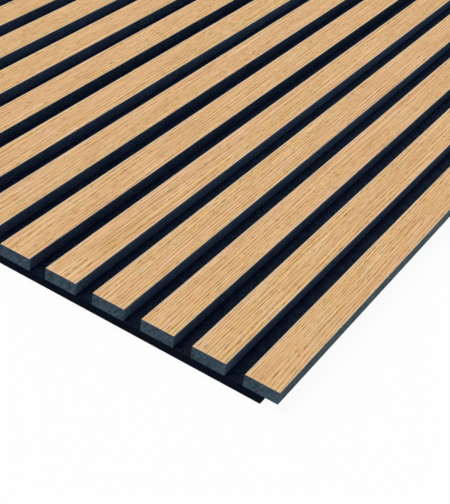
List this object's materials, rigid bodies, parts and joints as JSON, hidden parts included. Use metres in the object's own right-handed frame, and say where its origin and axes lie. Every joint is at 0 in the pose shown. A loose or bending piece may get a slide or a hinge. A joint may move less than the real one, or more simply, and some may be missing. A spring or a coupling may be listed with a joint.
{
  "type": "slatted acoustic panel",
  "caption": "Flat wall panel of parallel oak veneered slats on a dark felt board, made to damp sound; an edge slat overhangs so that the next panel laps under it.",
  "frame": {"origin": "centre of the felt board's back face, the face that goes against the wall", "axes": "+Z out of the slatted face, +Y along the slats, +X across the slats towards the edge with the overhanging slat"},
  "size_m": [0.612, 2.4, 0.017],
  "materials": {
    "oak_veneer": "satin",
    "dyed_fibreboard": "matte",
    "black_felt": "matte",
    "staple_wire": "satin"
  },
  "bodies": {
    "root": {"felt_backing": "black_felt", "slat_01_core": "dyed_fibreboard", "slat_01_veneer": "oak_veneer", "slat_02_core": "dyed_fibreboard", "slat_02_veneer": "oak_veneer", "slat_03_core": "dyed_fibreboard", "slat_03_veneer": "oak_veneer", "slat_04_core": "dyed_fibreboard", "slat_04_veneer": "oak_veneer", "slat_05_core": "dyed_fibreboard", "slat_05_veneer": "oak_veneer", "slat_06_core": "dyed_fibreboard", "slat_06_veneer": "oak_veneer", "slat_07_core": "dyed_fibreboard", "slat_07_veneer": "oak_veneer", "slat_08_core": "dyed_fibreboard", "slat_08_veneer": "oak_veneer", "slat_09_core": "dyed_fibreboard", "slat_09_veneer": "oak_veneer", "slat_10_core": "dyed_fibreboard", "slat_10_veneer": "oak_veneer", "slat_11_core": "dyed_fibreboard", "slat_11_veneer": "oak_veneer", "slat_12_core": "dyed_fibreboard", "slat_12_veneer": "oak_veneer", "slat_13_core": "dyed_fibreboard", "slat_13_veneer": "oak_veneer", "slat_14_core": "dyed_fibreboard", "slat_14_veneer": "oak_veneer", "slat_15_core": "dyed_fibreboard", "slat_15_veneer": "oak_veneer", "back_staples": "staple_wire"}
  },
  "joints": []
}
